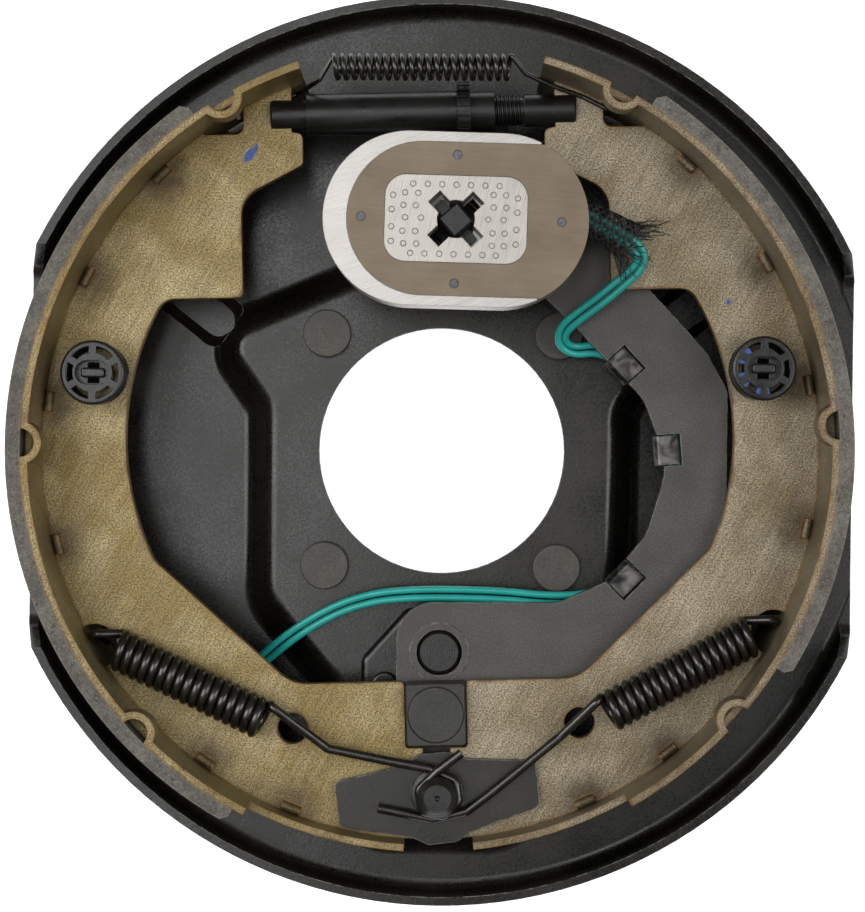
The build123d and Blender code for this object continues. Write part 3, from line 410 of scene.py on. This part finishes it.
plate_paint = painted_black("black_paint", (0.0085, 0.0075, 0.0062), 0.29, 0.9 * MM, 0.8)
lever_paint = painted_black("black_paint_lever", (0.050, 0.0465, 0.0415), 0.40, 0.5 * MM, 0.7, 0.4)
support_paint = painted_black("black_paint_support", (0.0090, 0.0082, 0.0070), 0.29, 0.6 * MM, 0.6)
guide_paint = painted_black("black_paint_guide", (0.014, 0.013, 0.011), 0.33, 0.6 * MM, 0.8)
stud_steel = dark_steel("dark_steel_stud", (0.046, 0.041, 0.034), 0.46, stud_axes)
block_steel = dark_steel("dark_steel_block", (0.024, 0.023, 0.021), 0.42, [block_axis])
adjuster_steel = dark_steel("dark_steel_adjuster", (0.005, 0.0047, 0.0043), 0.34)
pin_steel = dark_steel("dark_steel_pin", (0.009, 0.0085, 0.008), 0.3, [anchor, pivot_axis])
cup_steel = dark_steel("dark_steel_cup", (0.012, 0.012, 0.013), 0.28)
wire_steel = spring_wire()
olive_light, olive_dull = (0.350, 0.280, 0.145), (0.215, 0.155, 0.055)
grey_light, grey_dull = (0.315, 0.265, 0.185), (0.200, 0.155, 0.090)
zinc = {
    (part, side): yellow_zinc(f"yellow_zinc_{part}_{side}", light, dull, way, brightness)
    for part, brightness in (("web", 1.0), ("table", 0.8))
    for side, way, light, dull in (("secondary", -1, olive_light, olive_dull),
                                   ("primary", 1, grey_light, grey_dull))
}
case_steel = ground_steel("bright_steel_case", (0.52, 0.50, 0.48), 0.55, 72)
core_steel = ground_steel("bright_steel_core", (0.49, 0.462, 0.43), 0.55, 15)
face_pin_steel = dark_steel("bright_steel_pin", (0.10, 0.105, 0.12), 0.3)
facing_brown = friction_facing()
lining_grey = brake_lining()
green_plastic = wire_insulation()
winding_copper = copper_winding()
clip_steel = spring_clip()
braid_black = plain_dark("braided_sleeve", (0.014, 0.015, 0.015), 0.42, 0.5 * MM, 0.02 * MM)
rubber_black = plain_dark("black_rubber", (0.018, 0.018, 0.018), 0.7, 0.7 * MM, 0.04 * MM)
marking_blue = paint_dab("marking_blue", (0.040, 0.100, 0.36))

finishes = {
    plate_paint: ["backing_plate"],
    support_paint: ["anchor_support_plate", "support_rivets"],
    guide_paint: ["shoe_guide_plate"],
    lever_paint: ["actuating_lever"],
    stud_steel: ["mounting_studs"],
    block_steel: ["lever_block", "lever_block_pin"],
    adjuster_steel: ["adjuster_tube", "star_wheel_nut", "adjuster_screw"],
    pin_steel: ["anchor_post", "lever_pivot_pin", "magnet_stud", "secondary_hold_down_pin",
                "primary_hold_down_pin"],
    cup_steel: ["secondary_hold_down_cup", "primary_hold_down_cup"],
    wire_steel: ["secondary_return_spring", "primary_return_spring", "adjuster_spring",
                 "secondary_hold_down_spring", "primary_hold_down_spring", "magnet_follow_up_spring"],
    zinc["web", "secondary"]: ["secondary_shoe_web"],
    zinc["web", "primary"]: ["primary_shoe_web"],
    zinc["table", "secondary"]: ["secondary_shoe_table"],
    zinc["table", "primary"]: ["primary_shoe_table"],
    lining_grey: ["secondary_lining", "primary_lining"],
    case_steel: ["magnet_case"],
    core_steel: ["magnet_core"],
    face_pin_steel: ["magnet_face_pins"],
    facing_brown: ["magnet_facing"],
    winding_copper: ["magnet_coil"],
    clip_steel: ["lead_clips"],
    rubber_black: ["lead_grommet", "adjusting_slot_plug"],
}

for finish, names in finishes.items():
    for name in names:
        mesh = nodes[name].data
        mesh.materials.clear()
        mesh.materials.append(finish)


def piece(name, mesh, finish, body):
    """A new piece that rides on a body."""
    made = bpy.data.objects.new(name, mesh)
    scene.collection.objects.link(made)
    mesh.materials.append(finish)
    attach(made, body)
    return made


def mesh_of(name, build):
    """A smooth mesh from a function that fills a bmesh."""
    form = bmesh.new()
    build(form)
    mesh = bpy.data.meshes.new(name)
    form.to_mesh(mesh)
    form.free()
    mesh.shade_smooth()
    return mesh


# Leads, two side by side. They follow the routes of their solids, but behind the lever they lie up to
# 3 mm further out, where it hides them.
lead_d = 2.2 * MM
lead_pitch = 2.6 * MM
cord_steps = 12
cord_sides = 5

# Middle lines of the pair, in millimetres
lever_route = [
    (37.4, 73.2, 34.3), (42.0, 71.8, 33.6), (47.6, 69.2, 32.6), (53.4, 66.0, 31.3), (59.8, 61.8, 29.9),
    (60.0, 57.2, 28.6), (54.6, 52.2, 26.8), (48.2, 46.8, 24.7), (42.0, 42.2, 21.4), (37.2, 38.2, 17.8),
    (36.6, 34.0, 13.8), (40.8, 31.4, 11.2), (48.8, 32.6, 11.1), (57.4, 27.8, 11.0), (67.4, 17.4, 11.1),
    (73.0, 2.2, 11.0), (73.2, -13.4, 11.1), (68.6, -28.6, 11.0), (58.2, -40.0, 11.1), (47.2, -45.4, 11.0),
    (34.0, -46.2, 11.1), (18.0, -44.6, 10.8), (2.0, -44.6, 10.8),
]
plate_route = [
    (2.0, -44.6, 10.8), (-13.0, -44.6, 10.8), (-29.0, -48.2, 8.6), (-43.6, -56.4, 5.0), (-55.2, -66.0, 0.2),
    (-62.5, -72.5, -3.9), (-66.1, -76.1, -7.8), (-67.0, -77.0, -14.7),
]
tail_route = [
    (-67.0, -77.0, -14.7), (-67.3, -77.3, -17.0), (-69.5, -79.5, -18.6), (-75.0, -82.8, -18.9),
    (-85.0, -81.6, -18.9), (-97.0, -70.0, -18.9), (-104.6, -50.0, -18.9), (-106.0, -28.0, -18.9),
    (-101.0, -6.0, -18.9),
]


def lead_points(route, side):
    """The points of one of the two leads, half a pitch beside the route."""
    points = [Vector(point) * MM for point in route]
    moved = []
    for number, point in enumerate(points):
        before = points[max(number - 1, 0)]
        after = points[min(number + 1, len(points) - 1)]
        along = (after - before).to_2d().normalized()
        moved.append(point + Vector((-along.y, along.x, 0)) * side * lead_pitch / 2)
    return moved


def spline_curve(name, points, radius):
    """A smooth round cord: one NURBS spline with these control points."""
    curve = bpy.data.curves.new(name, "CURVE")
    curve.dimensions = "3D"
    spline = curve.splines.new("NURBS")
    spline.points.add(len(points) - 1)
    for point, place in zip(spline.points, points):
        point.co = (*place, 1)
    spline.order_u = 3
    spline.use_endpoint_u = True
    spline.resolution_u = cord_steps
    curve.bevel_depth = radius
    curve.bevel_resolution = cord_sides
    curve.use_fill_caps = True
    return curve


def spline_line(name, points):
    """Points along the NURBS spline through a route, close together."""
    curve = spline_curve(name, points, 0)
    guide = bpy.data.objects.new(name, curve)
    mesh = bpy.data.meshes.new_from_object(guide)
    line = [vertex.co.copy() for vertex in mesh.vertices]
    bpy.data.objects.remove(guide)
    bpy.data.curves.remove(curve)
    bpy.data.meshes.remove(mesh)
    return line


def as_mesh(curved):
    """A curve object turned into a mesh."""
    name = curved.name
    mesh = bpy.data.meshes.new_from_object(curved)
    bpy.data.objects.remove(curved)
    solid = bpy.data.objects.new(name, mesh)
    scene.collection.objects.link(solid)
    return solid


for side, letter in ((-1, "a"), (1, "b")):
    for part, route in (("lever_lead", lever_route), ("plate_lead", plate_route),
                        ("lead_tail", tail_route)):
        points = lead_points(route, side)
        name = f"{part}_{letter}"
        curve = spline_curve(name + "_wire", points, lead_d / 2)
        lead = bpy.data.objects.new(name + "_wire", curve)
        scene.collection.objects.link(lead)
        curve.materials.append(green_plastic)
        if part == "plate_lead":
            lead = as_mesh(lead)
            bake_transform(lead)
        elif part == "lever_lead":
            lead = as_mesh(lead)
            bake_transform(lead)
        else:
            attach(lead, "plate")
        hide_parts(name)


# Woven sleeve over the leads beside the magnet
sleeve_wide = 4.7 * MM
sleeve_deep = 2.9 * MM
sleeve_flare = 0.35
sleeve_end = (57.2, 63.5, 30.5)
sleeve_route = [Vector(point) * MM for point in (*lever_route[:4], sleeve_end)]
strand_r = 0.14 * MM
strand_weave = 0.25 * MM
strand_spacing = 0.085
strand_wander = 0.06
carriers = 9
carrier_turns = 1.15
frayed_strands = 70
frayed_points = 7
frayed_lengths = (2.5, 8.5)
frayed_drift = Vector((0.75, 0.25, 0.0))


def line_frames(line):
    """Share of the length, place, sideways and up at each point of a line."""
    lengths = [0.0]
    for before, after in zip(line, line[1:]):
        lengths.append(lengths[-1] + (after - before).length)
    frames = []
    for number, place in enumerate(line):
        along = (line[min(number + 1, len(line) - 1)] - line[max(number - 1, 0)]).normalized()
        aside = along.cross(Vector((0, 0, 1))).normalized()
        frames.append((lengths[number] / lengths[-1], place, aside, aside.cross(along)))
    return frames


def strand_curve(name, strands, radius):
    """Many fine strands as one curve object."""
    curve = bpy.data.curves.new(name, "CURVE")
    curve.dimensions = "3D"
    for strand in strands:
        spline = curve.splines.new("POLY")
        spline.points.add(len(strand) - 1)
        for point, place in zip(spline.points, strand):
            point.co = (*place, 1)
    curve.bevel_depth = radius
    curve.bevel_resolution = 1
    curve.use_fill_caps = True
    return curve


def sleeve_strands():
    """Two families of strands, each of three wires, that pass over and under one another."""
    chance = random.Random(11)
    frames = line_frames(spline_line("sleeve_line", sleeve_route))
    strands = []
    for family in (-1, 1):
        for carrier in range(carriers):
            for wire in (-1, 0, 1):
                strand = []
                wander = chance.uniform(-strand_wander, strand_wander)
                for share, place, aside, up in frames:
                    angle = family * carrier_turns * 2 * math.pi * share + carrier * 2 * math.pi / carriers
                    angle += wire * strand_spacing + wander * math.sin(7 * share)
                    weave = strand_weave * family * math.cos(angle * carriers / 2 + carrier * math.pi)
                    flare = 1 + sleeve_flare * share ** 3
                    wide = (sleeve_wide * flare + weave) * math.cos(angle)
                    deep = (sleeve_deep * flare + weave) * math.sin(angle)
                    strand.append(place + aside * wide + up * deep)
                strands.append(strand)
    return strands, frames


def frayed_ends(frames):
    """Loose ends of the strands, fanned out past the end of the sleeve."""
    chance = random.Random(5)
    _, place, aside, up = frames[-1]
    along = (place - frames[-4][1]).normalized()
    ends = []
    for _ in range(frayed_strands):
        angle = chance.uniform(0, 2 * math.pi)
        start = place + aside * sleeve_wide * 1.3 * math.cos(angle)
        start = start + up * sleeve_deep * 1.2 * math.sin(angle)
        start -= along * chance.uniform(0, 3.0) * MM
        outward = (aside * math.cos(angle) * 0.7 + up * math.sin(angle) * 0.35)
        drift = frayed_drift * max(0.0, chance.gauss(0.55, 0.45))
        heading = (along * 0.7 + outward + drift).normalized()
        length = chance.uniform(*frayed_lengths) * MM
        curl = Vector([chance.gauss(0, 0.32) for _ in range(3)])
        strand = []
        for step in range(frayed_points):
            share = step / (frayed_points - 1)
            strand.append(start + heading * length * share + curl * length * share ** 2 * 0.6)
        ends.append(strand)
    return ends


strands, frames = sleeve_strands()
braid = strand_curve("woven_sleeve", strands + frayed_ends(frames), strand_r)
woven = bpy.data.objects.new("woven_sleeve", braid)
scene.collection.objects.link(woven)
woven.data.materials.append(braid_black)
woven = as_mesh(woven)
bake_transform(woven)
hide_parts("lead_sleeve")

# Follow-up spring, a copy of the solid's coil that rides on the lever
spring_mesh = nodes["magnet_follow_up_spring"].data.copy()
follow_up = bpy.data.objects.new("follow_up_coil", spring_mesh)
scene.collection.objects.link(follow_up)
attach(follow_up, "lever")
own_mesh(follow_up)
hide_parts("magnet_follow_up_spring")

# Thread on the adjuster's screw
thread_pitch = 1.27 * MM
thread_root = 4.3 * MM
thread_crest = 4.95 * MM
thread_from = -4.0 * MM
thread_to = 30.4 * MM
rib_sink = 0.1 * MM
rib_foot = 0.46
rib_flat = 0.07


def screw_thread(form):
    """One V-shaped rib wound round the screw, faded out at its two ends."""
    per_turn = 36
    steps = int(per_turn * (thread_to - thread_from) / thread_pitch)
    rows = []
    for step in range(steps + 1):
        angle = 2 * math.pi * step / per_turn
        along = thread_from + thread_pitch * step / per_turn
        fade = min(1.0, step / per_turn, (steps - step) / per_turn)
        crest = thread_root + (thread_crest - thread_root) * fade
        row = []
        foot = thread_root - rib_sink
        for offset, radius in ((-rib_foot, foot), (-rib_flat, crest), (rib_flat, crest), (rib_foot, foot)):
            x = along + offset * thread_pitch
            y = adjuster_height + radius * math.cos(angle)
            z = adjuster_z + radius * math.sin(angle)
            row.append(form.verts.new(shoe_point(x, y, z)))
        rows.append(row)
    for before, after in zip(rows, rows[1:]):
        for number in range(3):
            form.faces.new((before[number], before[number + 1], after[number + 1], after[number]))
        form.faces.new((before[3], before[0], after[0], after[3]))
    form.faces.new(rows[0])
    form.faces.new(list(reversed(rows[-1])))


thread_mesh = mesh_of("adjuster_thread", screw_thread)
piece("adjuster_thread", thread_mesh, adjuster_steel, "adjuster_screw")

# Ring marks staked into the magnet's core plate
ring_r = 0.8 * MM
ring_wall = 0.17 * MM

# Height of each row above the magnet's middle, and the places along it, in millimetres
ring_rows = (
    (10.1, (-12.9, -8.6, -4.3, -0.1, 4.2, 8.4, 12.6)),
    (-10.4, (-13.2, -9.0, -4.6, -0.4, 3.9, 8.1, 12.1)),
    (7.4, (-15.2, -11.3, 10.9, 14.6)),
    (-7.6, (-15.3, -11.5, 10.8, 14.3)),
    (3.7, (-15.6, -11.9, 11.0, 14.8)),
    (-3.9, (-15.7, -11.9, 10.9, 14.5)),
    (0.1, (-15.0, -10.3, 9.5, 14.1)),
    (6.6, (-18.7, 18.1)),
    (2.4, (-19.0, 18.1)),
    (-2.7, (-19.0, 17.9)),
    (-7.0, (-19.0, 17.8)),
)


def ring_marks(form):
    """Low rounded rings on the core's face."""
    around, across = 20, 6
    for y, places in ring_rows:
        for x in places:
            middle = magnet_point(x * MM, y * MM, magnet_face)
            rings = []
            for number in range(around):
                angle = 2 * math.pi * number / around
                out = Vector((math.cos(angle), math.sin(angle), 0))
                ring = []
                for part in range(across):
                    turn = 2 * math.pi * part / across
                    offset = out * (ring_r + ring_wall * math.cos(turn))
                    offset.z = ring_wall * math.sin(turn)
                    ring.append(form.verts.new(middle + offset))
                rings.append(ring)
            for number in range(around):
                here, there = rings[number], rings[(number + 1) % around]
                for part in range(across):
                    following = (part + 1) % across
                    form.faces.new((here[part], there[part], there[following], here[following]))


ring_steel = dark_steel("bright_steel_rings", (0.20, 0.185, 0.16), 0.35)
ring_mesh = mesh_of("core_ring_marks", ring_marks)
piece("core_ring_marks", ring_mesh, ring_steel, "magnet")


# Dabs of marking paint, in millimetres
paint_film = 0.05


def paint_patch(name, places, height, body):
    """Thin irregular patch of paint lying on a flat face."""
    def build(form):
        low = [form.verts.new(Vector((x, y, height)) * MM) for x, y in places]
        high = [form.verts.new(Vector((x, y, height + paint_film)) * MM) for x, y in places]
        form.faces.new(high)
        form.faces.new(list(reversed(low)))
        for number in range(len(low)):
            following = (number + 1) % len(low)
            form.faces.new((low[number], low[following], high[following], high[number]))
    mesh = mesh_of(name, build)
    mesh.shade_flat()
    return piece(name, mesh, marking_blue, body)


web_face = web_top / MM
paint_patch("secondary_web_paint", (
    (-61.6, 90.0), (-60.4, 91.4), (-58.6, 92.6), (-57.6, 93.6), (-57.4, 91.8), (-58.4, 90.2), (-59.2, 88.6),
    (-60.6, 88.0), (-61.8, 87.7),
), web_face, "secondary_shoe")

dot_x, dot_y = 87.4, 46.6
spot = [(0.7 * math.cos(turn), 0.9 * math.sin(turn)) for turn in (0.2, 1.1, 2.0, 3.0, 3.9, 4.9, 5.7)]
paint_patch("primary_web_paint", [(dot_x + x, dot_y + y) for x, y in spot], web_face, "primary_shoe")

cup_centre = shoe_point(101.1 * MM, 127.6 * MM, 0) / MM
cup_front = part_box("primary_hold_down_cup")[1][2] / MM
slot_inner, slot_outer = 5.95, 8.05
slot_floor = 0.9
slot_steps = 6
painted_slots = ((128, 168), (192, 226), (252, 284))  # first and last angle, in degrees
for number, (first, last) in enumerate(painted_slots, 1):
    turns = [math.radians(first + (last - first) * step / slot_steps) for step in range(slot_steps + 1)]
    rim = [(slot_outer * math.cos(turn), slot_outer * math.sin(turn)) for turn in turns]
    rim += [(slot_inner * math.cos(turn), slot_inner * math.sin(turn)) for turn in reversed(turns)]
    paint_patch(f"primary_cup_paint_{number}", [(cup_centre.x + x, cup_centre.y + y) for x, y in rim],
                cup_front - slot_floor, "primary_shoe")

# Camera, square above the brake
lens_pixels = 2464.0
image_width = 865.0
sensor_width = 36.0
axis_pixel = 444.0
camera_data = bpy.data.cameras.new("camera")
camera_data.sensor_fit = "HORIZONTAL"
camera_data.sensor_width = sensor_width
camera_data.lens = sensor_width * lens_pixels / image_width
camera_data.shift_x = -(axis_pixel - image_width / 2) / image_width
camera_data.clip_start = 0.01
camera_place = Vector((0.75, -1.67, 780)) * MM
camera_turn = math.radians(0.7)
camera = bpy.data.objects.new("camera", camera_data)
camera.location = camera_place
camera.rotation_euler = (0, 0, camera_turn)
scene.collection.objects.link(camera)
scene.camera = camera


# Floor, lights and world
def floor_material():
    """White floor that keeps the object's shadow."""
    make = Finish("floor")
    make.done(colour=(0.82, 0.82, 0.82), roughness=0.9, specular=0.1)
    rays = make.add("ShaderNodeLightPath").outputs
    seen = make.maths("MAXIMUM", rays["Is Camera Ray"], rays["Is Glossy Ray"])
    seen = make.maths("MAXIMUM", seen, rays["Is Transmission Ray"])
    make.feed(make.shader.inputs["Emission Color"], (1, 1, 1))
    make.feed(make.shader.inputs["Emission Strength"], make.times(seen, 0.85))
    return make.material


floor_half = 40.0
corners = [(x * floor_half, y * floor_half, floor_height) for x, y in ((-1, -1), (1, -1), (1, 1), (-1, 1))]
floor_mesh = bpy.data.meshes.new("floor")
floor_mesh.from_pydata(corners, [], [(0, 1, 2, 3)])
floor = bpy.data.objects.new("floor", floor_mesh)
scene.collection.objects.link(floor)
floor_mesh.materials.append(floor_material())


def softbox(name, place, size, power):
    """Area light aimed at the brake."""
    data = bpy.data.lights.new(name, "AREA")
    data.shape = "RECTANGLE"
    data.size, data.size_y = size
    data.energy = power
    lamp = bpy.data.objects.new(name, data)
    lamp.location = place
    lamp.rotation_euler = (-Vector(place)).to_track_quat("-Z", "Y").to_euler()
    lamp.visible_camera = False
    scene.collection.objects.link(lamp)


softbox("softbox_left", (-1.05, 0.2, 1.3), (0.8, 1.5), 17)
softbox("softbox_right", (1.1, 0.0, 1.25), (0.7, 1.4), 12)
softbox("softbox_top", (-0.16, 0.03, 1.55), (1.1, 0.16), 2.8)


def studio_world():
    """Dim room, lighter overhead than at the horizon."""
    world = bpy.data.worlds.new("studio")
    world.use_nodes = True
    tree = world.node_tree
    direction = tree.nodes.new("ShaderNodeTexCoord").outputs["Generated"]
    height = tree.nodes.new("ShaderNodeSeparateXYZ")
    strength = tree.nodes.new("ShaderNodeMapRange")
    strength.inputs["From Min"].default_value = 0.25
    strength.inputs["From Max"].default_value = 1.0
    strength.inputs["To Min"].default_value = 0.08
    strength.inputs["To Max"].default_value = 0.24
    tree.links.new(direction, height.inputs[0])
    tree.links.new(height.outputs["Z"], strength.inputs["Value"])
    tree.links.new(strength.outputs[0], tree.nodes["Background"].inputs["Strength"])
    tree.nodes["Background"].inputs["Color"].default_value = (1.0, 0.975, 0.93, 1)
    return world


scene.world = studio_world()

scene.view_settings.view_transform = "Standard"
